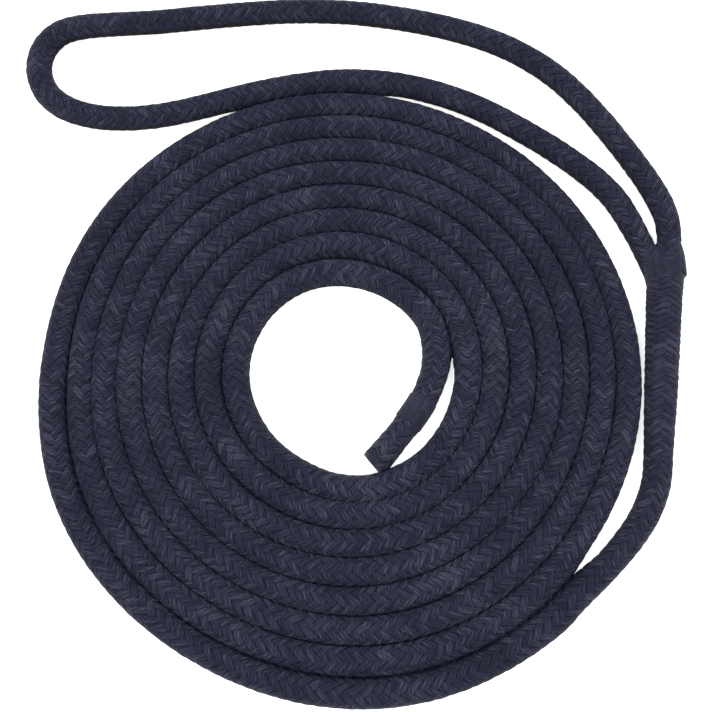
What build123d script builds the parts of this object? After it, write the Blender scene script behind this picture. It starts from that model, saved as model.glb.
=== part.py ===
from build123d import *

import os
from math import cos, exp, pi, radians, sin, sqrt, tan

# Coiled dock line: double-braid rope laid in a flat one-layer spiral, with a long eye
# spliced in its outer end and a whipped, heat-sealed bitter end inside the coil.
# Millimetres, +Z up. The line lies on z = 0, and the origin is the middle of its footprint.

os.makedirs("parts", exist_ok=True)

# ---- Rope ---------------------------------------------------------------------------
rope_diameter = 9.5
core_diameter = 6.0
braid_gap = 0.05  # radial clearance between a core and the cover round it
rope_radius = rope_diameter / 2
core_radius = core_diameter / 2
cover_bore_radius = core_radius + braid_gap
rope_height = rope_radius  # centreline of a rope that lies on the floor

# ---- Flat coil ----------------------------------------------------------------------
# The centreline is a spiral that grows one pitch a turn, slightly oval, with its innermost
# turns pushed to one side. As it was laid by hand, each turn also wanders a little.
coil_centre = (-0.1, -18.0)
coil_pitch = 9.55
coil_base_radius = 35.36
coil_oval = 0.48
coil_oval_angle = 20
coil_inner_shift = 1.6
coil_inner_decay = 600  # degrees
coil_start = 30  # degrees, counter-clockwise from +X: the tail leaves here
coil_end = 2828  # degrees: the lead to the splice leaves here
outline_step = 10  # degrees between points on the coil's outline
coil_edge_bevel = 1.8

# How far the rope lies outside the even spiral, at an angle along it. It eases from each
# value to the next.
coil_drift = [
    (30, 0.1),
    (75, -0.6),
    (120, 0.2),
    (180, 0.1),
    (210, -1.0),
    (240, -1.9),
    (285, -0.3),
    (345, -0.9),
    (390, 0.1),
    (480, 0.5),
    (540, 0.2),
    (600, -1.2),
    (655, -0.5),
    (695, -0.8),
    (750, 0.0),
    (930, 0.1),
    (960, -0.3),
    (1050, -0.4),
    (1110, 0.0),
    (1230, 0.0),
    (1305, -0.3),
    (1410, -0.4),
    (1470, 0.0),
    (1560, 0.0),
    (1680, -0.6),
    (1710, 0.0),
    (1765, -1.0),
    (1830, 0.0),
    (1920, 0.0),
    (1970, -0.7),
    (2000, -0.3),
    (2040, -0.8),
    (2085, 0.2),
    (2130, -1.1),
    (2190, 0.1),
    (2220, -0.8),
    (2250, 0.0),
    (2305, -0.5),
    (2345, -1.7),
    (2370, -0.4),
    (2400, -1.1),
    (2445, 0.6),
    (2490, -1.3),
    (2520, -0.7),
    (2580, -1.0),
    (2610, -0.1),
    (2662, -0.6),
    (2695, -2.3),
    (2727, 0.0),
    (2760, -1.0),
    (2806, 1.6),
    (2828, 1.0),
]

# ---- Routes of the stretches that aren't coiled -------------------------------------
tail_points = [
    (32.2, -7.7),
    (32.4, -15.0),
    (30.9, -22.3),
    (27.7, -29.0),
    (23.5, -35.1),
    (19.0, -41.0),
    (14.4, -45.8),
    (10.5, -50.2),
]
lead_points = [
    (77.3, -98.1),
    (86.6, -90.0),
    (95.5, -80.8),
    (102.5, -72.0),
    (106.4, -64.2),
    (108.7, -57.2),
]
eye_points = [
    (119.8, 30.8),
    (120.2, 37.6),
    (118.3, 46.1),
    (113.7, 56.0),
    (105.7, 69.2),
    (97.1, 81.8),
    (88.3, 93.0),
    (77.1, 103.5),
    (61.1, 113.6),
    (41.6, 120.7),
    (21.1, 125.5),
    (0.6, 128.4),
    (-18.9, 128.9),
    (-38.9, 127.7),
    (-58.9, 125.7),
    (-74.9, 123.8),
    (-90.9, 122.9),
    (-104.4, 122.1),
    (-113.5, 119.1),
    (-119.5, 111.8),
    (-120.9, 102.3),
    (-117.4, 92.8),
    (-110.0, 86.1),
    (-98.9, 82.1),
    (-85.9, 81.0),
    (-72.4, 82.2),
    (-56.9, 85.9),
    (-38.9, 91.3),
    (-20.9, 95.5),
    (-2.9, 98.2),
    (14.6, 97.3),
    (32.1, 93.6),
    (50.6, 86.4),
    (66.6, 77.0),
    (81.6, 66.7),
    (95.6, 54.8),
    (103.8, 43.4),
    (109.2, 30.6),
]

# ---- Eye splice ---------------------------------------------------------------------
# The cover's own tail is buried in the core, which swells round it, so the splice is
# thickest at the throat and tapers down the standing part.
throat = (116.8, 17.2)
splice_shoulder = 6.8  # plain rope between the last bend and the splice
splice_stations = [0.0, 0.3, 0.6, 1.0]  # share of the way up the splice
splice_diameters = [rope_diameter, 11.2, 12.0, 12.8]
buried_tail_diameters = [1.0, 4.6, 5.8, 7.2]
stitch_diameter = 0.9
stitch_count = 9
stitch_first_angle = -50  # degrees round the throat from its right-hand side, up is +90
stitch_last_angle = 85
stitch_reach = (0.1, 0.8)  # share of the way from the throat to the eye's right leg

# ---- Bitter end ---------------------------------------------------------------------
whipping_reach = (0.50, 0.70)  # share of the tail's length
whipping_thickness = 0.45
whipping_gap = 0.03
seal_length = 1.8
seal_slant = 12  # degrees by which the hot cut is off square
seal_diameter = 9.0

BEND_SHARE = 0.45  # share of the shorter run that a bend takes up, each side


def drift(angle):
    """How far the rope lies outside the even spiral, eased between the listed angles."""
    for (low, before), (high, after) in zip(coil_drift, coil_drift[1:]):
        if low <= angle <= high:
            share = (1 - cos(pi * (angle - low) / (high - low))) / 2
            return before + (after - before) * share
    return 0.0


def coil_radius(angle):
    """Centreline radius of the spiral at an angle in degrees."""
    oval = coil_oval * cos(radians(2 * (angle - coil_oval_angle)))
    shift = coil_inner_shift * sin(radians(angle)) * exp(-angle / coil_inner_decay)
    return coil_base_radius + coil_pitch * angle / 360 - oval - shift + drift(angle)


def coil_point(angle, offset=0.0):
    """A point of the spiral in plan, offset outwards from the centreline."""
    reach = coil_radius(angle) + offset
    x = coil_centre[0] + reach * cos(radians(angle))
    y = coil_centre[1] + reach * sin(radians(angle))
    return (x, y)


def at_height(points, height=rope_height):
    return [(x, y, height) for x, y in points]


def bend_radii(route):
    """The largest arc that each corner's two runs allow."""
    radii = []
    for before, corner, after in zip(route, route[1:], route[2:]):
        run_in = Vector(*corner) - Vector(*before)
        run_out = Vector(*after) - Vector(*corner)
        half_turn = radians(run_in.get_angle(run_out)) / 2
        shorter = min(run_in.length, run_out.length)
        radii.append(BEND_SHARE * shorter / tan(half_turn))
    return radii


def upright_plane(centre, heading):
    """A plane square to a level heading, its own x to the left and y up."""
    flat = Vector(heading.X, heading.Y, 0).normalized()
    return Plane(origin=centre, x_dir=(-flat.Y, flat.X, 0), z_dir=flat)


def sweep_rope(route, outer_radius, bore_radius=0.0):
    """Sweep a round or hollow section along a route, into the part being built."""
    with BuildLine() as path:
        FilletPolyline(*route, radius=bend_radii(route))
    with BuildSketch(upright_plane(path.line @ 0, path.line % 0)) as section:
        Circle(outer_radius)
        if bore_radius:
            Circle(bore_radius, mode=Mode.SUBTRACT)
    sweep(sections=section.sketch, path=path.line)
    return Wire(path.line.edges())


def loft_rings(rings, mode=Mode.ADD):
    """Loft straight-sided through circles, each given as its plane and its radius."""
    sections = []
    for plane, radius in rings:
        with BuildSketch(plane) as section:
            Circle(radius)
        sections.append(section.sketch)
    loft(sections=sections, ruled=True, mode=mode)


# ---- Routes in space ----------------------------------------------------------------
tail_route = at_height([coil_point(coil_start)] + tail_points)
last_bend = Vector(*lead_points[-1], 0)
throat_in_plan = Vector(*throat, 0)
splice_heading = (throat_in_plan - last_bend).normalized()
splice_foot = last_bend + splice_heading * splice_shoulder
lead_route = at_height([coil_point(coil_end)] + lead_points + [(splice_foot.X, splice_foot.Y)])
eye_route = at_height(eye_points)


# ---- The coil, as one solid of its outer shape --------------------------------------
def spiral_outline(first, last, offset, first_point, last_point):
    """Points along one side of the spiral, between two given end points."""
    count = round((last - first) / outline_step)
    angles = [first + (last - first) * i / count for i in range(1, count)]
    return [first_point] + [coil_point(angle, offset) for angle in angles] + [last_point]


tail_heading = (Vector(*tail_route[1]) - Vector(*tail_route[0])).normalized()
tail_across = Vector(-tail_heading.Y, tail_heading.X, 0) * rope_radius
tail_mouth = Vector(*coil_point(coil_start), 0)
tail_side_in = tail_mouth - tail_across
tail_side_out = tail_mouth + tail_across
hole_points = spiral_outline(
    coil_start,
    coil_start + 360,
    -rope_radius,
    (tail_side_in.X, tail_side_in.Y),
    (tail_side_out.X, tail_side_out.Y),
)
lead_heading = (Vector(*lead_route[1]) - Vector(*lead_route[0])).normalized()
lead_across = Vector(lead_heading.Y, -lead_heading.X, 0) * rope_radius
lead_mouth = Vector(*coil_point(coil_end), 0)
lead_side_out = lead_mouth + lead_across
lead_side_in = lead_mouth - lead_across
outer_points = spiral_outline(
    coil_end - 360,
    coil_end,
    rope_radius,
    (lead_side_in.X, lead_side_in.Y),
    (lead_side_out.X, lead_side_out.Y),
)

with BuildPart() as coil_line:
    with BuildSketch() as footprint:
        with BuildLine():
            Spline(*outer_points)
            Line(outer_points[-1], outer_points[0])
        make_face()
        with BuildLine():
            Spline(*hole_points)
            Line(hole_points[-1], hole_points[0])
        make_face(mode=Mode.SUBTRACT)
    extrude(amount=rope_diameter)
    curved_edges = coil_line.edges().filter_by(GeomType.BSPLINE)
    rims = curved_edges.group_by(Axis.Z)[0] + curved_edges.group_by(Axis.Z)[-1]
    chamfer(rims, length=coil_edge_bevel)
coil_line.part.label = "coil_line"

# ---- Lead from the coil to the splice -----------------------------------------------
with BuildPart() as lead_cover:
    lead_path = sweep_rope(lead_route, rope_radius, cover_bore_radius)
lead_cover.part.label = "lead_cover"

with BuildPart() as lead_core:
    sweep_rope(lead_route, core_radius)
lead_core.part.label = "lead_core"

# ---- Tail inside the coil, to the bitter end ----------------------------------------
with BuildPart() as tail_cover:
    tail_path = sweep_rope(tail_route, rope_radius, cover_bore_radius)
tail_cover.part.label = "tail_cover"

with BuildPart() as tail_core:
    sweep_rope(tail_route, core_radius)
tail_core.part.label = "tail_core"

# A band of twine sewn round the tail, pressed flat where it meets the floor.
whipping_radius = rope_radius + whipping_thickness
whipping_bore = rope_radius + whipping_gap
with BuildPart() as end_whipping:
    sweep_rope(tail_route, whipping_radius, whipping_bore)
    for share, keep in zip(whipping_reach, (Keep.TOP, Keep.BOTTOM)):
        split(bisect_by=Plane(origin=tail_path @ share, z_dir=tail_path % share), keep=keep)
    split(bisect_by=Plane.XY, keep=Keep.TOP)
end_whipping.part.label = "end_whipping"

# The cut end, fused by heat into a hard cap with a slanted face.
seal_plane = upright_plane(tail_path @ 1, tail_path % 1)
slant = radians(seal_slant)
slant_normal = seal_plane.z_dir * cos(slant) - seal_plane.x_dir * sin(slant)
with BuildPart() as sealed_tip:
    with BuildSketch(seal_plane):
        Circle(seal_diameter / 2)
    extrude(amount=2 * seal_length)
    split(
        bisect_by=Plane(origin=tail_path @ 1 + seal_plane.z_dir * seal_length, z_dir=slant_normal),
        keep=Keep.BOTTOM,
    )
sealed_tip.part.label = "sealed_tip"

# ---- Splice: cover, swollen core and buried tail, one inside the other --------------
splice_length = (throat_in_plan - splice_foot).length


def splice_rings(diameters):
    """Rings up the splice, which rests on the floor all along."""
    rings = []
    for share, cover_size, size in zip(splice_stations, splice_diameters, diameters):
        foot = splice_foot + splice_heading * (share * splice_length)
        centre = Vector(foot.X, foot.Y, cover_size / 2)
        rings.append((upright_plane(centre, splice_heading), size / 2))
    return rings


core_bores = [size + 2 * braid_gap for size in buried_tail_diameters]
core_sizes = [sqrt(bore**2 + core_diameter**2) for bore in core_bores]
cover_bores = [size + 2 * braid_gap for size in core_sizes]

with BuildPart() as splice_cover:
    loft_rings(splice_rings(splice_diameters))
    loft_rings(splice_rings(cover_bores), mode=Mode.SUBTRACT)
splice_cover.part.label = "splice_cover"

with BuildPart() as splice_core:
    loft_rings(splice_rings(core_sizes))
    loft_rings(splice_rings(core_bores), mode=Mode.SUBTRACT)
splice_core.part.label = "splice_core"

with BuildPart() as buried_tail:
    loft_rings(splice_rings(buried_tail_diameters))
buried_tail.part.label = "buried_tail"

# ---- Eye ----------------------------------------------------------------------------
with BuildPart() as eye_cover:
    eye_path = sweep_rope(eye_route, rope_radius, cover_bore_radius)
eye_cover.part.label = "eye_cover"

with BuildPart() as eye_core:
    sweep_rope(eye_route, core_radius)
eye_core.part.label = "eye_core"

# ---- Throat: the crossover, where the eye's two legs enter the splice ---------------
throat_radius = splice_diameters[-1] / 2
throat_ring = (
    upright_plane(Vector(*throat, throat_radius), splice_heading),
    throat_radius,
)
right_ring = (upright_plane(eye_path @ 0, eye_path % 0), rope_radius)
left_ring = (upright_plane(eye_path @ 1, -(eye_path % 1)), rope_radius)

with BuildPart() as throat_crossover:
    loft_rings([throat_ring, right_ring])
    loft_rings([throat_ring, left_ring])
throat_crossover.part.label = "throat_crossover"


def ring_point(ring, angle, lift):
    """A point round a ring, counted from its right-hand side, lifted off its surface."""
    plane, radius = ring
    reach = radius + lift
    turn = radians(angle)
    return plane.from_local_coords((-reach * cos(turn), reach * sin(turn), 0))


# Lock stitching: lengthwise stitches of twine on the right-hand side of the throat.
stitch_spacing = (stitch_last_angle - stitch_first_angle) / (stitch_count - 1)
with BuildPart() as throat_stitches:
    for i in range(stitch_count):
        angle = stitch_first_angle + stitch_spacing * i
        low = Vector(ring_point(throat_ring, angle, stitch_diameter / 2 + braid_gap))
        high = Vector(ring_point(right_ring, angle, stitch_diameter / 2 + braid_gap))
        start = low + (high - low) * stitch_reach[0]
        end = low + (high - low) * stitch_reach[1]
        with BuildSketch(Plane(origin=start, z_dir=end - start)):
            Circle(stitch_diameter / 2)
        extrude(amount=(end - start).length)
throat_stitches.part.label = "throat_stitches"

# ---- Files and printed checks -------------------------------------------------------
sub_parts = [
    coil_line,
    lead_cover,
    lead_core,
    tail_cover,
    tail_core,
    end_whipping,
    sealed_tip,
    splice_cover,
    splice_core,
    buried_tail,
    throat_crossover,
    throat_stitches,
    eye_cover,
    eye_core,
]
for sub_part in sub_parts:
    export_step(sub_part.part, f"parts/{sub_part.part.label}.step")

tubes = [
    ("lead", lead_route, lead_path, lead_cover),
    ("tail", tail_route, tail_path, tail_cover),
    ("eye", eye_route, eye_path, eye_cover),
]
section = pi * (rope_radius**2 - cover_bore_radius**2)
for name, route, path, cover in tubes:
    radii = ", ".join(f"{radius:.0f}" for radius in bend_radii(route))
    share = cover.part.volume / (section * path.length)
    print(f"{name}: length {path.length:.1f}, volume ratio {share:.4f}, radii {radii}")
whole = Compound(children=[sub_part.part for sub_part in sub_parts])
print("box", whole.bounding_box())
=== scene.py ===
from math import cos, exp, pi, radians, sin, tan

import bpy
import numpy as np
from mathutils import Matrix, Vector


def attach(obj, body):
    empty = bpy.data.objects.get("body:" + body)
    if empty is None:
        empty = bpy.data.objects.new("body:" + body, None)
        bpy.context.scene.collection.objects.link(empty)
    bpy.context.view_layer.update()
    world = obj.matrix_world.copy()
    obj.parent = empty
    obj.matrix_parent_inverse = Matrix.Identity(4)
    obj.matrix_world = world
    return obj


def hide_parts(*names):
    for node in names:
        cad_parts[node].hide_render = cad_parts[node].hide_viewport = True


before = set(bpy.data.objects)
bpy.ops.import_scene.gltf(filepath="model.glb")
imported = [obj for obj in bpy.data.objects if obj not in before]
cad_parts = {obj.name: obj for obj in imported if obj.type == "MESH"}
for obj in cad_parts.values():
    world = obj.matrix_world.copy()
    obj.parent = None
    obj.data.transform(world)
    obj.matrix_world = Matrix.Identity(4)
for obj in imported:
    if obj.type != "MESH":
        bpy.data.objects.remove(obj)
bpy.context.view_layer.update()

MM = 0.001

# ---- Rope and braid, in millimetres --------------------------------------------------
ROPE_DIAMETER = 9.5
ROPE_RADIUS = ROPE_DIAMETER / 2
STRANDS = 8  # in each direction
STRAND_LENGTH = 44.0  # of one strand, in one turn round the rope
CROWN_RADIUS = 4.72  # from the rope's middle to the top of its strands
EYE_CROWN_RADIUS = 4.6  # the eye is pulled a little tighter
CROTCH_CROWN_RADIUS = 4.3  # and most where its legs come together
CROTCH_LENGTH = 16.0
SPLICE_FOOT_CROWN = 5.0  # the buried tail already thickens the rope here
SWELLING_LENGTH = 40.0  # of the rope below the splice
RING_STEP = 0.5  # between a tube's rings
RING_POINTS = 56
CLEAR_OF_FLOOR = 0.01
FLOAT_HEIGHT = 0.15  # how far a strand rises and sinks where it passes the others
STRAND_HEIGHT = 0.30  # how far a strand's middle stands above its edges
FLOAT_SHARPNESS = 1.8
STRAND_SQUARENESS = 2.4  # 2 gives a strand or yarn a round top, and more a flatter one
STRAND_VARIETY = 0.12  # of a strand's height, from one pass to the next
SLOW_TWISTS = [(0.9, 190), (0.5, 73), (0.2, 29)]  # strands, and over what length
WAVER_WAVES = 14
WAVER_LENGTHS = (7, 40)
WAVER_ROUND = 0.05  # how far the strands are out of true, in strands, round the rope
WAVER_ALONG = 0.08  # and along it
WAVER_FADE = 6.0  # they come true over this length, where one tube meets the next
SAG = 0.12  # how far the rope's lower half spreads where nothing lies beside it
MOST_SAG = 1.5  # where the next turn lies a little way off
SAG_EDGE = 5.0  # how sharply the spread fades out at the rope's middle height
TURN_REACH = 11.8  # a turn of the coil further off than this isn't leant on
EYE_REACH = 11.0  # nor is the eye's leg beyond this
LEAN_STEP = 6  # rings between two looks at what lies beside the rope
LEAN_WIDTH = 3.0  # how far along the rope counts as beside it
TOUCH_OVERLAP = 0.08  # leaning turns press into each other by this
FLATTENING = 80.0  # a bend of radius R makes the rope wider by this much over R squared
MOST_FLATTENING = 0.07
BEND_SMOOTHING = 30  # rings

# ---- Flat coil: the spiral in the CAD, with its drift adjusted in places -------------
# It grows one pitch a turn, slightly oval, with its innermost turns pushed to one side.
COIL_CENTRE = (-0.1, -18.0)
COIL_PITCH = 9.55
COIL_BASE_RADIUS = 35.36
COIL_OVAL = 0.48
COIL_OVAL_ANGLE = 20
COIL_INNER_SHIFT = 1.6
COIL_INNER_DECAY = 600  # degrees
COIL_START = 30  # degrees, counter-clockwise from +X
COIL_END = 2828
COIL_POINTS_A_TURN = 24
COIL_DRIFT = [
    # how far the hand-laid rope lies outside the even spiral, at an angle along it
    (30, 0.1),
    (75, -0.8),
    (120, -0.1),
    (180, -0.2),
    (210, -1.3),
    (240, -2.1),
    (285, -0.1),
    (345, -0.9),
    (390, 0.1),
    (480, 0.5),
    (540, 0.2),
    (600, -1.2),
    (655, -0.2),
    (695, -0.8),
    (750, 0.0),
    (930, 0.1),
    (960, -0.3),
    (1050, -0.4),
    (1110, 0.0),
    (1230, 0.0),
    (1305, -0.3),
    (1410, -0.4),
    (1470, 0.0),
    (1560, 0.0),
    (1620, -0.4),
    (1680, -0.6),
    (1710, 0.0),
    (1765, -1.0),
    (1830, 0.0),
    (1920, 0.0),
    (1970, -1.3),
    (2000, -0.7),
    (2040, -0.8),
    (2085, 0.2),
    (2130, -1.1),
    (2190, 0.1),
    (2220, -0.8),
    (2250, 0.0),
    (2300, -0.6),
    (2340, -2.4),
    (2374, -0.5),
    (2400, -1.1),
    (2445, 0.6),
    (2490, -1.3),
    (2520, -0.7),
    (2580, -1.0),
    (2610, -0.1),
    (2662, -0.6),
    (2695, -2.3),
    (2727, 0.0),
    (2760, -0.8),
    (2806, 1.8),
    (2828, 1.0),
]

# ---- Routes of the stretches that aren't coiled, as seen from above ------------------
TAIL_POINTS = [
    (32.2, -7.7),
    (32.4, -15.0),
    (30.9, -22.3),
    (27.9, -29.1),
    (23.8, -35.3),
    (19.3, -41.3),
    (14.9, -46.3),
    (10.3, -51.4),
]
LEAD_POINTS = [
    (77.3, -98.1),
    (86.6, -90.0),
    (95.5, -80.8),
    (102.5, -72.0),
    (106.4, -64.2),
    (108.7, -57.2),
]
EYE_POINTS = [
    (120.0, 30.8),
    (120.4, 37.6),
    (118.1, 46.0),
    (113.4, 55.8),
    (105.4, 69.0),
    (96.8, 81.6),
    (88.1, 92.8),
    (77.1, 103.5),
    (61.1, 113.6),
    (41.6, 120.7),
    (21.1, 125.3),
    (0.6, 128.1),
    (-18.9, 128.6),
    (-38.9, 127.4),
    (-58.9, 125.4),
    (-74.9, 123.5),
    (-90.9, 122.6),
    (-104.3, 121.7),
    (-113.5, 119.1),
    (-119.5, 111.8),
    (-120.9, 102.3),
    (-117.4, 92.8),
    (-110.0, 86.1),
    (-98.9, 82.1),
    (-85.9, 81.0),
    (-72.4, 82.2),
    (-56.9, 85.9),
    (-38.9, 91.3),
    (-20.9, 95.3),
    (-2.9, 97.7),
    (14.6, 96.9),
    (32.1, 93.4),
    (50.6, 86.2),
    (66.6, 76.7),
    (81.6, 66.5),
    (95.6, 54.8),
    (104.0, 43.5),
    (109.2, 30.6),
]
THROAT = (116.8, 17.2)
SPLICE_SHOULDER = 6.8  # plain rope between the last bend and the splice
SPLICE_STATIONS = [0.0, 0.3, 0.6, 1.0]  # share of the way up the splice
SPLICE_DIAMETERS = [ROPE_DIAMETER, 11.2, 12.0, 12.8]
SPLICE_FULLNESS = 0.15  # strand tops stand this far outside those diameters
SPLICE_SMOOTHING = 12  # times that its outline is smoothed

# ---- Throat, whipping and cut end ----------------------------------------------------
TUCKED_POINTS = [
    # the eye's left leg goes on into the splice, and sinks in it
    (109.2, 30.6, 4.75),
    (111.8, 24.1, 4.8),
    (114.2, 17.1, 5.1),
    (115.6, 10.0, 5.6),
    (115.4, 3.5, 6.0),
]
THROAT_BLEND = 3.0  # how softly the two legs run into each other
THROAT_LEVELS = [8.5, 12.0, 17.0, 22.0, 29.5]  # along Y, from where its cover leaves the braid
THROAT_DEPTHS = [0.7, 0.35, -0.12, 0.0, 0.45]  # how deep it lies under the braid's crowns there
THROAT_SLANT = 0.35  # its lower edge comes down towards the right
THROAT_STEP = 0.35
THROAT_RING_POINTS = 96
THROAT_REACH = 14.0  # further out than its surface ever lies
THROAT_SEARCHES = 30  # halvings of that reach, to find the surface
THROAT_FIBRES = 40  # round its ring
LASHING_SPAN = (-0.02, 1.0)  # share of the way from the throat to the eye's right leg
LASHING_ANGLES = (-50, 62)  # degrees round the rope from its right-hand side
LASHING_STITCHES = 18
LASHING_TWINE = 0.7
LASHING_LIFT = 0.5  # above the braid
LASHING_TUCKS = (0.7, 9.0)  # how gradually its lower and upper ends go in
LASHING_CAMBER = (1.2, 1.5)  # share of the lift in its middle, and how much less at its sides
WHIPPING_SPAN = (17.1, 28.4)  # from the end of the braid
WHIPPING_STITCHES = 44
WHIPPING_TWINE = 0.66
WHIPPING_LIFT = 0.25
WHIPPING_TUCKS = (0.9, 0.9)
TWINE_SIDES = 8
TWINE_RINGS = 26
TWINE_ROUNDNESS = (0.5, 0.85)  # half its height and half its width, over its diameter
STITCH_UNEVENNESS = 0.25  # of where stitches start and stop
SEAL_LENGTH = 1.8
SEAL_SLANT = 8  # degrees
SEAL_UNDERCUT = 7  # degrees; the knife leant, and the top edge hangs over
SEAL_MELT = 0.45  # strands crossed on the way to its rim
CORE_SHARE = 0.63  # of the cut face's radius

# ---- Yarn and colours ----------------------------------------------------------------
PLY_ACROSS = 3.1  # plies met in going once across a strand
PLY_ALONG = 1.3  # plies met in going from one crossing strand to the next
YARN_SHIFT = 0.4  # plies that a strand's two yarns are out of step

SIDE_PAINTED_SHADE = [(0.06, 0.4), (0.34, 1.0)]  # painted shade: how light a surface is painted, by how far it faces up
LOW_PAINTED_SHADE = [(0.25, 0.08), (0.45, 0.35), (0.60, 0.8), (0.72, 1.0)]  # painted shade: how light a surface is painted, by its height in cm
# the first navy is painted shade, for the gaps between strands and between plies
NAVY_CREVICE_SHADE = (0.0035, 0.0042, 0.011)
NAVY_MID = (0.0205, 0.0226, 0.0388)
NAVY_LIGHT = (0.057, 0.060, 0.090)

# ---- Camera and studio, in millimetres -----------------------------------------------
CAMERA_TARGET = (3.5, -13.4, ROPE_RADIUS)
CAMERA_TILT = radians(15)  # from straight down, towards the near side
CAMERA_DISTANCE = 354
CAMERA_SENSOR = 36
CAMERA_LENS = 49.7
CAMERA_NEAREST = 10
SOFTBOXES = 4
SOFTBOX_DISTANCE = 1200
SOFTBOX_RISE = radians(48)
SOFTBOX_SIZE = 800
SOFTBOX_POWER = 8.0  # watts
SKY_LIGHT = 0.15
FLOOR_SIZE = 24000
FLOOR_COLOUR = (0.8, 0.8, 0.8, 1)
FLOOR_GLOW = 0.75  # lit from below, so that shadows on it stay faint


def add_camera():
    """Above the coil and a little towards its near side, with the coil filling the frame."""
    target = Vector(CAMERA_TARGET) * MM
    toward = Vector((0, -sin(CAMERA_TILT), cos(CAMERA_TILT)))
    place = target + toward * CAMERA_DISTANCE * MM
    data = bpy.data.cameras.new("camera")
    data.sensor_width = CAMERA_SENSOR
    data.lens = CAMERA_LENS
    data.clip_start = CAMERA_NEAREST * MM
    camera = bpy.data.objects.new("camera", data)
    bpy.context.scene.collection.objects.link(camera)
    camera.location = place
    camera.rotation_euler = (target - place).to_track_quat("-Z", "Y").to_euler()
    bpy.context.scene.camera = camera


# ---- Centrelines ---------------------------------------------------------------------
def drift(angle):
    """How far the rope lies outside the even spiral, eased between the listed angles."""
    for (low, before), (high, after) in zip(COIL_DRIFT, COIL_DRIFT[1:]):
        if low <= angle <= high:
            share = (1 - cos(pi * (angle - low) / (high - low))) / 2
            return before + (after - before) * share
    return 0.0


def coil_radius(angle):
    """Centreline radius of the spiral at an angle in degrees."""
    oval = COIL_OVAL * cos(radians(2 * (angle - COIL_OVAL_ANGLE)))
    shift = COIL_INNER_SHIFT * sin(radians(angle)) * exp(-angle / COIL_INNER_DECAY)
    return COIL_BASE_RADIUS + COIL_PITCH * angle / 360 - oval - shift + drift(angle)


def coil_points():
    """Control points of the turns, set out far enough for the curve inside them."""
    step = 360 / COIL_POINTS_A_TURN
    outset = 1 / (0.75 + 0.25 * cos(radians(step)))
    count = round((COIL_END - COIL_START) / step)
    points = []
    for i in range(count + 1):
        angle = COIL_START + (COIL_END - COIL_START) * i / count
        reach = coil_radius(angle) * outset
        points.append(
            (
                COIL_CENTRE[0] + reach * cos(radians(angle)),
                COIL_CENTRE[1] + reach * sin(radians(angle)),
            )
        )
    return points


def nurbs_line(name, points):
    """Points in millimetres along the NURBS curve that has the given control points."""
    curve = bpy.data.curves.new(name, "CURVE")
    curve.dimensions = "3D"
    curve.resolution_u = 16
    spline = curve.splines.new("NURBS")
    spline.points.add(len(points) - 1)
    for control, point in zip(spline.points, points):
        control.co = (point[0] * MM, point[1] * MM, point[2] * MM, 1)
    spline.order_u = 3
    spline.use_endpoint_u = True
    guide = bpy.data.objects.new(name, curve)
    bpy.context.scene.collection.objects.link(guide)
    line = bpy.data.meshes.new_from_object(guide)
    places = np.array([vertex.co for vertex in line.vertices]) / MM
    bpy.data.objects.remove(guide)
    bpy.data.meshes.remove(line)
    return places


def evenly(places, step):
    """The same line, with its points a given distance apart."""
    reach = np.r_[0, np.cumsum(np.linalg.norm(np.diff(places, axis=0), axis=1))]
    count = max(2, round(reach[-1] / step))
    wanted = np.linspace(0, reach[-1], count + 1)
    return np.stack([np.interp(wanted, reach, places[:, k]) for k in range(3)], axis=1)


def on_floor(points):
    return [(x, y, ROPE_RADIUS) for x, y in points]


last_bend = Vector(LEAD_POINTS[-1])
splice_heading = (Vector(THROAT) - last_bend).normalized()
splice_foot = last_bend + splice_heading * SPLICE_SHOULDER

standing_control = on_floor(
    TAIL_POINTS[::-1] + coil_points() + LEAD_POINTS + [tuple(splice_foot)]
)
eye_control = on_floor(EYE_POINTS)


def splice_control():
    """From the splice's small end up to the throat, rising as it thickens."""
    points = []
    for share, diameter in zip(SPLICE_STATIONS, SPLICE_DIAMETERS):
        place = splice_foot.lerp(Vector(THROAT), share)
        points.append((place.x, place.y, diameter / 2))
    return points + [(*EYE_POINTS[0], ROPE_RADIUS)]


standing_line = evenly(nurbs_line("standing_guide", standing_control), RING_STEP)
splice_line = evenly(nurbs_line("splice_guide", splice_control()), RING_STEP)
eye_line = evenly(nurbs_line("eye_guide", eye_control), RING_STEP)
leg_line = evenly(nurbs_line("leg_guide", TUCKED_POINTS), RING_STEP)


# ---- Braided tubes -------------------------------------------------------------------
def line_frames(line):
    """Distance along a line, and its tangent, side and up directions, at each point."""
    along = np.r_[0, np.cumsum(np.linalg.norm(np.diff(line, axis=0), axis=1))]
    tangent = np.gradient(line, axis=0)
    tangent /= np.linalg.norm(tangent, axis=1)[:, None]
    side = np.cross(tangent, [0, 0, 1])
    side /= np.linalg.norm(side, axis=1)[:, None]
    up = np.cross(side, tangent)
    return along, tangent, side, up


def braid_lay(radius):
    """Length of rope in which a strand goes once round: a wider braid is a shorter one."""
    return np.sqrt(STRAND_LENGTH**2 - (2 * pi * np.asarray(radius)) ** 2)


def strand_section(offset):
    """Height across one strand, 1 in its middle and 0 where it meets the next."""
    return np.sqrt(np.clip(1 - np.abs(2 * offset) ** STRAND_SQUARENESS, 0, 1))


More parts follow.
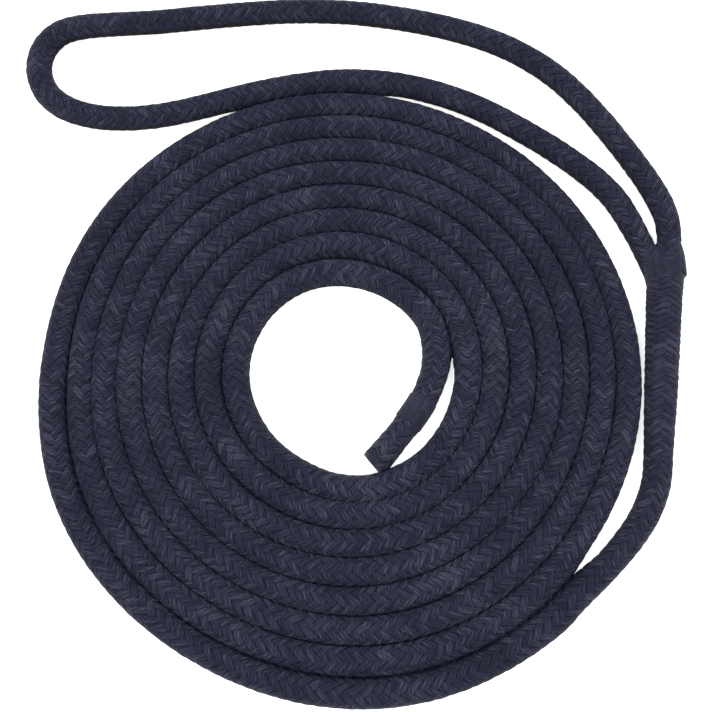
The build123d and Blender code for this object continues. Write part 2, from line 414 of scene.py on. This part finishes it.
def braid_top(round_phase, along_phase, sizes):
    """Height of a braid in which each strand passes over two others and under two."""
    right = round_phase - along_phase
    left = round_phase + along_phase
    right_index = np.round(right)
    left_index = np.round(left)
    right_wave = np.tanh(FLOAT_SHARPNESS * np.cos(pi / 2 * (left + right_index - 0.5)))
    left_wave = -np.tanh(FLOAT_SHARPNESS * np.cos(pi / 2 * (right + left_index - 0.5)))
    count = sizes.shape[1]
    right_size = sizes[0][np.mod(right_index, count).astype(int)]
    left_size = sizes[1][np.mod(left_index, count).astype(int)]
    right_top = FLOAT_HEIGHT * right_wave
    right_top = right_top + STRAND_HEIGHT * right_size * strand_section(right - right_index)
    left_top = FLOAT_HEIGHT * left_wave
    left_top = left_top + STRAND_HEIGHT * left_size * strand_section(left - left_index)
    return np.maximum(right_top, left_top)


def strand_table(seed):
    """Each pass of a strand is a little fuller or thinner than the next."""
    random = np.random.default_rng(seed)
    return 1 + STRAND_VARIETY * random.standard_normal((2, 997)).clip(-2, 2)


def slow_twist(along, seed):
    """The braid turns slowly about the rope, first one way and then the other."""
    random = np.random.default_rng(seed)
    starts = random.uniform(0, 2 * pi, len(SLOW_TWISTS))
    return sum(
        amount * np.sin(along / length + start)
        for (amount, length), start in zip(SLOW_TWISTS, starts)
    )


def waver(along, turn, seed):
    """Smooth uneven noise over a tube, about 1 high, for strands that aren't quite true."""
    random = np.random.default_rng(seed)
    result = np.zeros((len(along), len(turn)))
    for _ in range(WAVER_WAVES):
        wave = 2 * pi / random.uniform(*WAVER_LENGTHS)
        lobes = random.integers(0, 4)
        start = random.uniform(0, 2 * pi)
        result += np.cos(wave * along[:, None] + lobes * turn[None, :] + start)
    return result / 3


def smoothed(values, points):
    """Running average, with the ends held."""
    padded = np.pad(values, points, mode="edge")
    return np.convolve(padded, np.ones(2 * points + 1) / (2 * points + 1), "valid")


def spreading(line, tangent, side, crown, leans):
    """How far the limp rope spreads low down on its right and left, until ropes touch."""
    # where ropes touch, below their middles, this much of the crown and the spread counts
    crown_share, spread_share = 0.93, 0.85
    spread = np.full((2, len(line)), SAG)
    for other, most in leans:
        for i in range(0, len(line), LEAN_STEP):
            apart = other[::LEAN_STEP] - line[i]
            across = apart @ side[i]
            beside = np.abs(apart @ tangent[i]) < LEAN_WIDTH
            for k, sign in enumerate((1, -1)):
                reach = across[beside & (sign * across > ROPE_RADIUS)] * sign
                if len(reach) and reach.min() < most:
                    wanted = (reach.min() / 2 - crown_share * crown[i]) / spread_share
                    wanted = min(max(wanted + TOUCH_OVERLAP, SAG), MOST_SAG)
                    spread[k, i : i + LEAN_STEP] = wanted
    return np.array([smoothed(row, 2 * LEAN_STEP) for row in spread])


def flattening(line, tangent):
    """How much wider the rope is at each ring for being bent."""
    run = np.linalg.norm(np.gradient(line, axis=0), axis=1)
    bend = np.linalg.norm(np.gradient(tangent, axis=0), axis=1) / run
    return 1 + smoothed(np.minimum(FLATTENING * bend**2, MOST_FLATTENING), BEND_SMOOTHING)


def braid_phases(along, crown, start):
    """Phase along the rope at each ring, from a start, with the lay that fits its width."""
    middle = (crown[1:] + crown[:-1]) / 2
    steps = STRANDS * np.diff(along) / braid_lay(middle)
    return start + np.r_[0, np.cumsum(steps)]


def braided_tube(name, line, crown, start=(0, 0), seed=1, leans=()):
    """A tube whose surface is the braid. Returns it, and the phases at its far end."""
    along, tangent, side, up = line_frames(line)
    crown = np.broadcast_to(np.asarray(crown, float), len(line))
    along_phase = braid_phases(along, crown, start[0])
    twist = slow_twist(along, seed)
    twist = twist - twist[0] + start[1]
    turn = np.linspace(0, 2 * pi, RING_POINTS + 1) - pi / 2
    fade = np.clip(np.minimum(along, along[-1] - along) / WAVER_FADE, 0, 1)[:, None]
    round_phase = STRANDS * turn[None, :] / (2 * pi) + twist[:, None]
    round_phase = round_phase + WAVER_ROUND * fade * waver(along, turn, seed + 100)
    strand_phase = along_phase[:, None] + WAVER_ALONG * fade * waver(along, turn, seed + 200)
    top = braid_top(round_phase, strand_phase, strand_table(seed))
    depth = (FLOAT_HEIGHT + STRAND_HEIGHT - top) * (crown / CROWN_RADIUS)[:, None]
    reach = crown[:, None] - depth
    low = np.abs(np.cos(turn)) * (0.5 - 0.5 * np.tanh(SAG_EDGE * np.sin(turn)))
    right, left = spreading(line, tangent, side, crown, leans)
    spread = np.where(np.cos(turn) > 0, right[:, None], -left[:, None]) * low
    across = reach * np.cos(turn) * flattening(line, tangent)[:, None] + spread
    height = reach * np.sin(turn)
    places = line[:, None] + across[..., None] * side[:, None] + height[..., None] * up[:, None]
    places[..., 2] = np.maximum(places[..., 2], CLEAR_OF_FLOOR)
    piece = tubes_mesh(name, [(places[:, :-1], round_phase, strand_phase)])
    return piece, (along_phase[-1], twist[-1])


def tubes_mesh(name, tubes):
    """One mesh of open tubes. Each is its rings of points, and what its UV map says of them."""
    vertices, faces, maps = [], [], []
    base = 0
    for places, around, lengthwise in tubes:
        rings, points = places.shape[:2]
        ring, point = np.meshgrid(np.arange(rings - 1), np.arange(points), indexing="ij")
        following = (point + 1) % points
        corners = [(ring, point), (ring, following), (ring + 1, following), (ring + 1, point)]
        face = np.stack([r * points + p for r, p in corners], axis=-1).reshape(-1, 4)
        corner_ring = np.stack([ring, ring, ring + 1, ring + 1], axis=-1).reshape(-1)
        corner_point = np.stack([point, point + 1, point + 1, point], axis=-1).reshape(-1)
        lengthwise = np.broadcast_to(lengthwise.reshape(rings, -1), around.shape)
        corner = (corner_ring, corner_point)
        maps.append(np.stack([around[corner], lengthwise[corner]], axis=1))
        vertices.append(places.reshape(-1, 3))
        faces.append(face + base)
        base += rings * points
    vertices, faces, maps = np.concatenate(vertices), np.concatenate(faces), np.concatenate(maps)
    mesh = bpy.data.meshes.new(name)
    mesh.vertices.add(len(vertices))
    mesh.vertices.foreach_set("co", (vertices * MM).astype(np.float32).ravel())
    mesh.loops.add(faces.size)
    mesh.loops.foreach_set("vertex_index", faces.ravel().astype(np.int32))
    mesh.polygons.add(len(faces))
    mesh.polygons.foreach_set("loop_start", np.arange(0, faces.size, 4, dtype=np.int32))
    mesh.update(calc_edges=True)
    layer = mesh.uv_layers.new(name="braid")
    layer.data.foreach_set("uv", maps.astype(np.float32).ravel())
    mesh.shade_smooth()
    piece = bpy.data.objects.new(name, mesh)
    bpy.context.scene.collection.objects.link(piece)
    return piece


# ---- Throat, whipping and cut end ----------------------------------------------------
def blended_throat(name, main, main_radius, leg, leg_radius):
    """The smooth cover round both legs where they come together, as rings across them."""
    levels = np.arange(THROAT_LEVELS[0], THROAT_LEVELS[-1], THROAT_STEP)
    turn = np.linspace(0, 2 * pi, THROAT_RING_POINTS + 1)
    rings = []
    for level in levels:
        centres, radii = [], []
        for line, radius in ((main, main_radius), (leg, leg_radius)):
            order = np.argsort(line[:, 1])
            ys = line[order, 1]
            centres.append([np.interp(level, ys, line[order, k]) for k in (0, 2)])
            radii.append(np.interp(level, ys, radius[order]))
        middle = np.mean(centres, axis=0)
        near, far = np.zeros(len(turn)), np.full(len(turn), THROAT_REACH)
        for _ in range(THROAT_SEARCHES):
            reach = (near + far) / 2
            x = middle[0] + reach * np.cos(turn)
            z = middle[1] + reach * np.sin(turn)
            gaps = [np.hypot(x - c[0], z - c[1]) - r for c, r in zip(centres, radii)]
            share = np.clip(0.5 + 0.5 * (gaps[1] - gaps[0]) / THROAT_BLEND, 0, 1)
            gap = gaps[1] + (gaps[0] - gaps[1]) * share - THROAT_BLEND * share * (1 - share)
            gap += np.interp(level + THROAT_SLANT * (x - middle[0]), THROAT_LEVELS, THROAT_DEPTHS)
            near = np.where(gap < 0, reach, near)
            far = np.where(gap < 0, far, reach)
        z = np.maximum(z, CLEAR_OF_FLOOR)
        rings.append(np.stack([x, np.full(len(turn), level), z], axis=1))
    rings = np.array(rings)
    around = np.broadcast_to(turn / (2 * pi) * THROAT_FIBRES, rings.shape[:2])
    return tubes_mesh(name, [(rings[:, :-1], around, levels)])


def at_reach(reach, along, rows):
    """Rows of a table, read between at distances along the line."""
    return np.stack([np.interp(reach, along, rows[:, k]) for k in range(3)], axis=1)


def twine_band(name, line, crown, span, angles, twine, lifts, tucks, seed):
    """Twine stitches side by side along a rope, over a span of it, each end tucked in."""
    along, tangent, side, up = line_frames(line)
    crown = np.broadcast_to(np.asarray(crown, float), len(line))
    random = np.random.default_rng(seed)
    around = np.linspace(0, 2 * pi, TWINE_SIDES + 1)
    tubes = []
    for number, (angle, lift) in enumerate(zip(angles, lifts)):
        first = span[0] + random.uniform(-STITCH_UNEVENNESS, STITCH_UNEVENNESS)
        last = span[1] + random.uniform(-STITCH_UNEVENNESS, STITCH_UNEVENNESS)
        reach = np.linspace(first, last, TWINE_RINGS)
        centre, right, top = [at_reach(reach, along, rows) for rows in (line, side, up)]
        surface = np.interp(reach, along, crown)
        inside = np.minimum((reach - first) / tucks[0], (last - reach) / tucks[1])
        sunk = np.clip(1 - inside, 0, 1) ** 2
        rise = lift + twine * random.uniform(-0.05, 0.05) - sunk * (lift + twine)
        sway = 0.012 * np.sin(reach / 2.1 + random.uniform(0, 6)) + random.uniform(-0.01, 0.01)
        cosine, sine = np.cos(angle + sway)[:, None], np.sin(angle + sway)[:, None]
        outward = cosine * right + sine * top
        sideways = -sine * right + cosine * top
        middle = centre + (surface + rise)[:, None] * outward
        ring = (
            middle[:, None]
            + twine * TWINE_ROUNDNESS[0] * np.cos(around)[None, :, None] * outward[:, None]
            + twine * TWINE_ROUNDNESS[1] * np.sin(around)[None, :, None] * sideways[:, None]
        )
        ring[..., 2] = np.maximum(ring[..., 2], 2 * CLEAR_OF_FLOOR)
        fill = np.broadcast_to(around / (2 * pi) + number, ring.shape[:2])
        tubes.append((ring[:, :-1], fill, reach + random.uniform(0, 50)))
    return tubes_mesh(name, tubes)


def cut_end(name, line, crown, phase, seed):
    """The hot-cut end: the braid runs out to a melted rim, and the face is fused flat."""
    along, tangent, side, up = line_frames(line[:8])
    heading, side, up = -tangent[0], side[0], up[0]
    turn = np.linspace(0, 2 * pi, RING_POINTS * 2 + 1) - pi / 2
    round_phase = STRANDS * turn / (2 * pi) + phase[1]
    sizes = strand_table(seed)
    random = np.random.default_rng(seed + 1)
    melt = 0.05 * np.cos(np.outer(np.arange(1, 9), turn) + random.uniform(0, 6, (8, 1))).sum(0)
    rings, lengthwise = [], []
    # share of the way to the face, how much of the braid still shows, and how far in
    steps = [(share, 1 - 0.8 * share, 0) for share in np.linspace(0, 0.86, 7)]
    steps += [(0.93, 0.15, 0.12), (0.98, 0.1, 0.3), (1.0, 0.05, 0.6)]
    for share, braid, inward in steps:
        top = braid_top(round_phase, phase[0] - share * SEAL_MELT, sizes)
        reach = crown - braid * (FLOAT_HEIGHT + STRAND_HEIGHT - top) - inward - 0.1 * share
        reach = reach + 0.35 * melt * share
        rings.append((share, reach, 0.0))
        lengthwise.append(phase[0] - share * SEAL_MELT)
    outer = rings[-1][1]
    face_rings = 11
    for step in range(1, face_rings + 1):
        inner = 1 - step / face_rings
        # the face is dished, with a low ridge where the core meets the cover
        dish = -0.22 * (1 - inner**2) + 0.10 * np.exp(-(((inner - CORE_SHARE) / 0.06) ** 2))
        rings.append((1.0, np.maximum(outer * inner, 0.01), dish))
        lengthwise.append(phase[0] - SEAL_MELT - 0.1 * step)
    places = []
    for share, reach, dish in rings:
        across = reach * np.cos(turn)
        height = reach * np.sin(turn)
        face = tan(radians(SEAL_SLANT)) * across + tan(radians(SEAL_UNDERCUT)) * height
        length = share * (SEAL_LENGTH + face) + dish
        if dish:
            length = length + 0.05 * np.sin(3.1 * across + seed) * np.cos(2.7 * height)
        place = line[0] + length[:, None] * heading + across[:, None] * side
        place = place + height[:, None] * up
        place[:, 2] = np.maximum(place[:, 2], CLEAR_OF_FLOOR)
        places.append(place)
    places = np.array(places)
    fill = np.broadcast_to(round_phase, places.shape[:2])
    return tubes_mesh(name, [(places[:, :-1][:, ::-1], fill[:, ::-1], np.array(lengthwise))])


# ---- Materials -----------------------------------------------------------------------
class NodeSheet:
    """Short calls for building a material's nodes."""

    def __init__(self, name):
        self.material = bpy.data.materials.new(name)
        self.material.use_nodes = True
        self.tree = self.material.node_tree
        self.shader = self.tree.nodes["Principled BSDF"]

    def node(self, kind, **settings):
        made = self.tree.nodes.new(kind)
        for key, value in settings.items():
            setattr(made, key, value)
        return made

    def link(self, source, target):
        self.tree.links.new(source, target)

    def feed(self, socket, value):
        if isinstance(value, bpy.types.NodeSocket):
            self.link(value, socket)
        else:
            socket.default_value = value

    def math(self, operation, first, second=0.0, third=0.0):
        made = self.node("ShaderNodeMath", operation=operation)
        for socket, value in zip(made.inputs, (first, second, third)):
            self.feed(socket, value)
        return made.outputs[0]

    def total(self, *terms):
        """Sum of values, each times its weight."""
        result = 0.0
        for value, weight in terms:
            result = self.math("MULTIPLY_ADD", value, weight, result)
        return result

    def combine(self, x, y, z):
        made = self.node("ShaderNodeCombineXYZ")
        for socket, value in zip(made.inputs, (x, y, z)):
            self.feed(socket, value)
        return made.outputs[0]

    def noise(self, vector, scale, detail=2.0, roughness=0.5):
        made = self.node("ShaderNodeTexNoise")
        self.link(vector, made.inputs["Vector"])
        made.inputs["Scale"].default_value = scale
        made.inputs["Detail"].default_value = detail
        made.inputs["Roughness"].default_value = roughness
        return made.outputs["Fac"]

    def uv(self, name):
        """The two halves of a UV map."""
        parts = self.node("ShaderNodeSeparateXYZ")
        self.link(self.node("ShaderNodeUVMap", uv_map=name).outputs["UV"], parts.inputs[0])
        return parts.outputs[0], parts.outputs[1]

    def position(self):
        return self.node("ShaderNodeNewGeometry").outputs["Position"]

    def ramp(self, value, stops):
        made = self.node("ShaderNodeValToRGB")
        self.link(value, made.inputs["Fac"])
        elements = made.color_ramp.elements
        while len(elements) < len(stops):
            elements.new(0.5)
        for element, (position, colour) in zip(elements, stops):
            element.position = position
            element.color = (*colour, 1)
        return made.outputs["Color"]

    def mix(self, factor, first, second, blend="MIX"):
        made = self.node("ShaderNodeMix", data_type="RGBA", blend_type=blend)
        self.feed(made.inputs["Factor"], factor)
        for socket, value in ((made.inputs[6], first), (made.inputs[7], second)):
            if isinstance(value, bpy.types.NodeSocket):
                self.link(value, socket)
            else:
                socket.default_value = (*value, 1)
        return made.outputs[2]

    def bump(self, height, distance):
        made = self.node("ShaderNodeBump")
        made.inputs["Strength"].default_value = 1.0
        made.inputs["Distance"].default_value = distance
        self.link(height, made.inputs["Height"])
        self.link(made.outputs["Normal"], self.shader.inputs["Normal"])

    def painted_side_shade(self, colour):
        """Painted shade: deeper navy on the flanks and low down, where the turns shade each other.
        """
        geometry = self.node("ShaderNodeNewGeometry")
        for output, scale, shades in (("Normal", 1.0, SIDE_PAINTED_SHADE), ("Position", 100.0, LOW_PAINTED_SHADE)):
            parts = self.node("ShaderNodeSeparateXYZ")
            self.link(geometry.outputs[output], parts.inputs[0])
            value = self.math("MULTIPLY", parts.outputs[2], scale)
            shade = self.ramp(value, [(stop, (grey,) * 3) for stop, grey in shades])
            colour = self.mix(1.0, colour, shade, "MULTIPLY")
        return colour

    def fixed(self, **values):
        """Values that are the same all over the surface."""
        for name, value in values.items():
            self.shader.inputs[name.replace("_", " ")].default_value = value


def rounded(sheet, offset):
    """Height across a strand or yarn, 1 in its middle and 0 at its edges."""
    across = sheet.math("ABSOLUTE", sheet.math("MULTIPLY", offset, 2.0))
    edge = sheet.math("POWER", across, STRAND_SQUARENESS)
    return sheet.math("SQRT", sheet.math("MAXIMUM", sheet.math("SUBTRACT", 1.0, edge), 0.0))


def strand_nodes(sheet, own, other, sign):
    """One hand of the braid: place across the strand, its number, and its height."""
    number = sheet.math("ROUND", own)
    offset = sheet.math("SUBTRACT", own, number)
    swing = sheet.math("ADD", sheet.math("ADD", other, number), -0.5)
    wave = sheet.math("COSINE", sheet.math("MULTIPLY", swing, pi / 2))
    wave = sheet.math("TANH", sheet.math("MULTIPLY", wave, FLOAT_SHARPNESS))
    height = sheet.total((wave, sign * FLOAT_HEIGHT), (rounded(sheet, offset), STRAND_HEIGHT))
    return offset, number, height


def choose(sheet, factor, first, second):
    """second where factor is 1, first where it is 0."""
    return sheet.math("MULTIPLY_ADD", sheet.math("SUBTRACT", second, first), factor, first)


def braid_material(name, light=1.0, rough=0.0, ply_depth=1.0, gloss=0.05):
    """Navy nylon braid: twisted plies slant across each strand, and painted shade darkens the gaps.
    """
    sheet = NodeSheet(name)
    around, lengthwise = sheet.uv("braid")
    right = sheet.math("SUBTRACT", around, lengthwise)
    left = sheet.math("ADD", around, lengthwise)
    right_offset, right_number, right_height = strand_nodes(sheet, right, left, 1)
    left_offset, left_number, left_height = strand_nodes(sheet, left, right, -1)
    over = sheet.math("GREATER_THAN", right_height, left_height)
    offset = choose(sheet, over, left_offset, right_offset)
    number = choose(sheet, over, left_number, right_number)
    run = choose(sheet, over, right, left)
    top = sheet.math("MAXIMUM", right_height, left_height)

    doubled = sheet.math("MULTIPLY", offset, 2.0)
    yarn = sheet.math("FLOOR", doubled)
    yarn_offset = sheet.math("SUBTRACT", sheet.math("SUBTRACT", doubled, yarn), 0.5)
    back = sheet.math("MULTIPLY", run, -PLY_ALONG)
    run = sheet.math("MULTIPLY_ADD", yarn, YARN_SHIFT, back)
    ply = sheet.math("MULTIPLY_ADD", offset, PLY_ACROSS, run)
    plies = sheet.math("ABSOLUTE", sheet.math("COSINE", sheet.math("MULTIPLY", ply, pi)))
    plies = sheet.math("MULTIPLY", sheet.math("POWER", plies, 0.8), rounded(sheet, yarn_offset))
    ply_number = sheet.math("ROUND", ply)
    fibre = sheet.noise(
        sheet.combine(
            sheet.math("MULTIPLY", ply, 7.0),
            sheet.math("MULTIPLY", offset, 1.5),
            sheet.math("MULTIPLY_ADD", number, 3.7, over),
        ),
        1.0,
        3.0,
        0.6,
    )
    ply_tone = sheet.noise(
        sheet.combine(
            sheet.math("MULTIPLY", number, 3.3),
            sheet.math("MULTIPLY", ply_number, 2.7),
            sheet.math("MULTIPLY_ADD", over, 7.3, sheet.math("MULTIPLY", offset, 0.7)),
        ),
        1.31,
        0.0,
    )
    strand_tone = sheet.noise(
        sheet.combine(number, sheet.math("MULTIPLY", run, 0.05), sheet.math("MULTIPLY", over, 9.1)),
        1.37,
        0.0,
    )
    patch = sheet.noise(sheet.position(), 60.0, 3.0, 0.6)

    tone = sheet.total((fibre, 0.30), (ply_tone, 0.32), (strand_tone, 0.10), (patch, 0.28))
    base = sheet.ramp(
        tone,
        [
            (0.34, tuple(0.8 * light * part for part in NAVY_MID)),
            (0.50, tuple(1.4 * light * part for part in NAVY_MID)),
            (0.64, tuple(1.25 * light * part for part in NAVY_LIGHT)),
        ],
    )
    # painted shade: points low between the strands, and the gaps between plies, are mixed towards
    # the dark navy
    open_share = sheet.math("MULTIPLY", top, 1 / (FLOAT_HEIGHT + STRAND_HEIGHT))
    open_share = sheet.ramp(open_share, [(0.2, (0, 0, 0)), (0.62, (0.7,) * 3), (0.98, (1, 1, 1))])
    between_plies = 1 - 0.62 * ply_depth
    crevice_shade = sheet.math("MULTIPLY", open_share, choose(sheet, plies, between_plies, 1.0))
    base = sheet.mix(crevice_shade, NAVY_CREVICE_SHADE, base)
    # painted shade on the flanks and low down
    sheet.link(sheet.painted_side_shade(base), sheet.shader.inputs["Base Color"])

    height = sheet.total((top, 1.0), (plies, 0.20 * ply_depth), (fibre, 0.08))
    sheet.bump(height, 0.00055)
    sheet.link(
        sheet.math("MULTIPLY_ADD", fibre, 0.20, 0.46 + rough), sheet.shader.inputs["Roughness"]
    )
    sheet.fixed(Specular_IOR_Level=gloss, Specular_Tint=(0.75, 0.76, 1.0, 1))
    sheet.fixed(Diffuse_Roughness=1.0)
    return sheet.material


def twine_material(name, light=1.0):
    """Smooth navy twine, with long fine fibres."""
    sheet = NodeSheet(name)
    around, lengthwise = sheet.uv("braid")
    fibre = sheet.noise(
        sheet.combine(
            sheet.math("MULTIPLY_ADD", lengthwise, 0.9, sheet.math("MULTIPLY", around, 9.0)),
            sheet.math("MULTIPLY", lengthwise, 0.5),
            sheet.math("FLOOR", around),
        ),
        1.0,
        3.0,
        0.6,
    )
    stitch = sheet.noise(sheet.combine(sheet.math("FLOOR", around), 0.5, 0.5), 1.7, 0.0)
    patch = sheet.noise(sheet.position(), 90.0, 2.0)
    tone = sheet.total((fibre, 0.5), (stitch, 0.3), (patch, 0.2))
    base = sheet.ramp(
        tone,
        [
            (0.32, tuple(0.6 * light * part for part in NAVY_MID)),
            (0.52, tuple(light * part for part in NAVY_MID)),
            (0.68, tuple(light * part for part in NAVY_LIGHT)),
        ],
    )
    # painted shade on the flanks and low down
    sheet.link(sheet.painted_side_shade(base), sheet.shader.inputs["Base Color"])
    sheet.bump(fibre, 0.00012)
    sheet.link(sheet.math("MULTIPLY_ADD", fibre, 0.2, 0.38), sheet.shader.inputs["Roughness"])
    sheet.fixed(Specular_IOR_Level=0.07, Specular_Tint=(0.75, 0.76, 1.0, 1))
    sheet.fixed(Diffuse_Roughness=1.0)
    return sheet.material


# ---- Light and floor -----------------------------------------------------------------
def add_softbox(number):
    """One of the round lights that stand in a ring and face the coil."""
    angle = 2 * pi * (number + 0.5) / SOFTBOXES
    out = cos(SOFTBOX_RISE)
    toward = Vector((out * cos(angle), out * sin(angle), sin(SOFTBOX_RISE)))
    data = bpy.data.lights.new(f"softbox_{number}", "AREA")
    data.shape = "DISK"
    data.size = SOFTBOX_SIZE * MM
    data.energy = SOFTBOX_POWER
    light = bpy.data.objects.new(f"softbox_{number}", data)
    bpy.context.scene.collection.objects.link(light)
    light.location = toward * SOFTBOX_DISTANCE * MM
    light.rotation_euler = (-toward).to_track_quat("-Z", "Y").to_euler()


def add_studio():
    """Even white light from all round, and a pale floor."""
    world = bpy.data.worlds.new("studio")
    world.use_nodes = True
    background = world.node_tree.nodes["Background"]
    background.inputs["Color"].default_value = (1, 1, 1, 1)
    background.inputs["Strength"].default_value = SKY_LIGHT
    bpy.context.scene.world = world
    for number in range(SOFTBOXES):
        add_softbox(number)
    bpy.context.scene.view_settings.view_transform = "Standard"

    bpy.ops.mesh.primitive_plane_add(size=FLOOR_SIZE * MM, location=(0, 0, 0))
    floor = bpy.context.object
    floor.name = "floor"
    sheet = NodeSheet("floor_paper")
    sheet.fixed(Base_Color=FLOOR_COLOUR, Roughness=0.9)
    sheet.fixed(Emission_Color=(1, 1, 1, 1), Emission_Strength=FLOOR_GLOW)
    floor.data.materials.append(sheet.material)


# ---- Making --------------------------------------------------------------------------
def add_piece(piece, material, slot, *stands_for):
    """Gives a piece its material, parents it to the root body, and hides the CAD parts it stands
    for.
    """
    piece.data.materials.append(material)
    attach(piece, "root")
    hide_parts(*stands_for)


add_camera()
navy_braid = braid_material("navy_braid")
spliced_braid = braid_material("navy_spliced_braid", light=0.9, ply_depth=0.35)
navy_twine = twine_material("navy_twine")
whipping_twine = twine_material("navy_whipping", light=1.1)
# a darker copy of the braid for the cut end: fused nylon is darker, and part of the darkness is
# painted shade on the cut face
melted_nylon = braid_material("melted_nylon", light=0.6, rough=-0.12, ply_depth=0.4, gloss=0.2)

to_splice = np.arange(len(standing_line))[::-1] * RING_STEP
standing_crown = np.interp(to_splice, [0, SWELLING_LENGTH], [SPLICE_FOOT_CROWN, CROWN_RADIUS])
leans = ((standing_line, TURN_REACH), (eye_line, EYE_REACH))
standing_rope, phase = braided_tube(
    "standing_rope", standing_line, standing_crown, seed=3, leans=leans
)
add_piece(standing_rope, navy_braid, "nylon_cover", "coil_line", "tail_cover", "lead_cover")

splice_reach = np.r_[0, np.cumsum(np.linalg.norm(np.diff(splice_line, axis=0), axis=1))]
splice_length = (Vector(THROAT) - splice_foot).length
stations = [share * splice_length for share in SPLICE_STATIONS] + [splice_reach[-1]]
sizes = [diameter / 2 + SPLICE_FULLNESS for diameter in SPLICE_DIAMETERS[1:]]
sizes = [SPLICE_FOOT_CROWN] + sizes + [CROTCH_CROWN_RADIUS]
splice_crown = np.interp(splice_reach, stations, sizes)
for _ in range(SPLICE_SMOOTHING):
    splice_crown[1:-1] = np.convolve(splice_crown, [0.25, 0.5, 0.25], "valid")
spliced_cover, phase = braided_tube("spliced_cover", splice_line, splice_crown, phase, seed=5)
add_piece(spliced_cover, spliced_braid, "nylon_cover", "splice_cover")

to_throat = np.arange(len(eye_line)) * RING_STEP
to_throat = np.minimum(to_throat, to_throat[::-1])
eye_crown = np.interp(to_throat, [0, CROTCH_LENGTH], [CROTCH_CROWN_RADIUS, EYE_CROWN_RADIUS])
eye_rope, phase = braided_tube(
    "eye_rope", eye_line, eye_crown, phase, seed=7, leans=((standing_line, EYE_REACH),)
)
add_piece(eye_rope, navy_braid, "nylon_cover", "eye_cover")

leg_crown = np.full(len(leg_line), CROTCH_CROWN_RADIUS)
tucked_leg, phase = braided_tube("tucked_leg", leg_line, leg_crown, phase, seed=8)
add_piece(tucked_leg, navy_braid, "nylon_cover", "throat_crossover")

throat_web = blended_throat("throat_web", splice_line, splice_crown, leg_line, leg_crown)
add_piece(throat_web, navy_twine, "nylon_cover", "throat_crossover")

above_throat = splice_reach[-1] - splice_length
lashing_span = [splice_length + share * above_throat for share in LASHING_SPAN]
to_middle = np.abs(np.linspace(-1, 1, LASHING_STITCHES))
lashing_lifts = LASHING_LIFT * (LASHING_CAMBER[0] - LASHING_CAMBER[1] * to_middle**3)
throat_lashing = twine_band(
    "throat_lashing",
    splice_line,
    splice_crown,
    lashing_span,
    np.radians(np.linspace(*LASHING_ANGLES, LASHING_STITCHES)),
    LASHING_TWINE,
    lashing_lifts,
    LASHING_TUCKS,
    21,
)
add_piece(throat_lashing, navy_twine, "whipping_twine", "throat_stitches")

end_whipping = twine_band(
    "whipping",
    standing_line[:200],
    CROWN_RADIUS,
    WHIPPING_SPAN,
    np.linspace(0, 2 * pi, WHIPPING_STITCHES, endpoint=False),
    WHIPPING_TWINE,
    np.full(WHIPPING_STITCHES, WHIPPING_LIFT),
    WHIPPING_TUCKS,
    22,
)
add_piece(end_whipping, whipping_twine, "whipping_twine", "end_whipping")

cut_tip = cut_end("cut_tip", standing_line, CROWN_RADIUS, (0.0, 0.0), 3)
add_piece(cut_tip, melted_nylon, "sealed_nylon", "sealed_tip")

core_braid = twine_material("core_fibre", light=3.0)
for node in ("lead_core", "tail_core", "eye_core", "splice_core", "buried_tail"):
    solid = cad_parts[node].data
    solid.materials.clear()
    solid.materials.append(core_braid)

add_studio()
